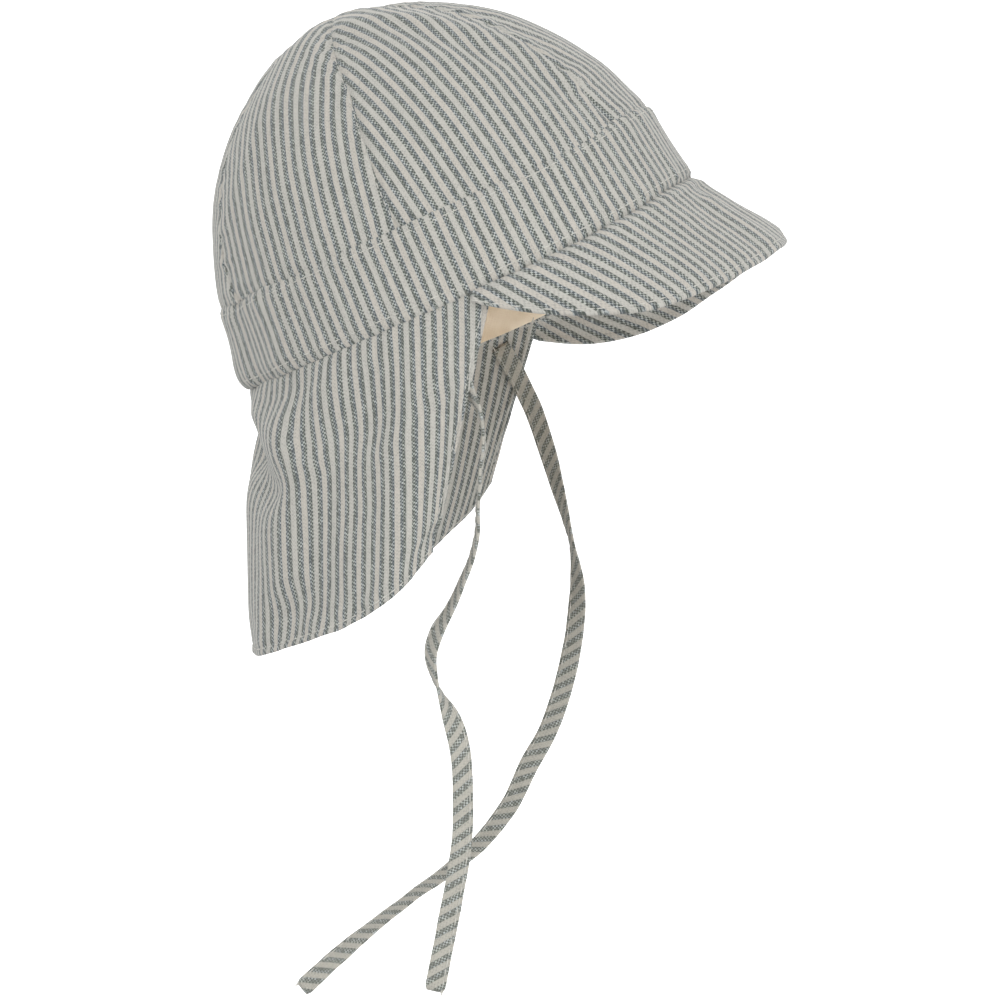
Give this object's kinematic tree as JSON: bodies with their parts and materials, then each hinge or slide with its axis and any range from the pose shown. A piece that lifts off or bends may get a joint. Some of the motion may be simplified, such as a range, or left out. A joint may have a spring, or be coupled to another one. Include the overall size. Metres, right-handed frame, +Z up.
{
  "type": "infant sun hat with peak, neck flap and ties",
  "caption": "Soft striped cotton sun hat with a gored crown, a band, a drooping peak, a hanging neck flap and two flat ties.",
  "frame": {"origin": "centre of the head opening, level with the band's lower edge, where the hat sits on a head", "axes": "+Z up, the hat's front faces -Y with its front edge lifted, the wearer's right is -X"},
  "size_m": [0.155, 0.199, 0.3456],
  "materials": {
    "striped_cotton": "plain-woven cotton in narrow grey-green and off-white stripes, matt",
    "lining_cotton": "plain cream cotton, matt",
    "tie_cotton": "the same striped cotton cut on the bias and folded flat"
  },
  "bodies": {
    "root": {"crown_panel_1": "striped_cotton", "crown_panel_2": "striped_cotton", "crown_panel_3": "striped_cotton", "crown_panel_4": "striped_cotton", "crown_panel_5": "striped_cotton", "crown_panel_6": "striped_cotton", "band": "striped_cotton", "peak": "striped_cotton", "neck_flap": "striped_cotton", "lining": "lining_cotton", "tie_right": "tie_cotton", "tie_left": "tie_cotton"}
  },
  "joints": []
}
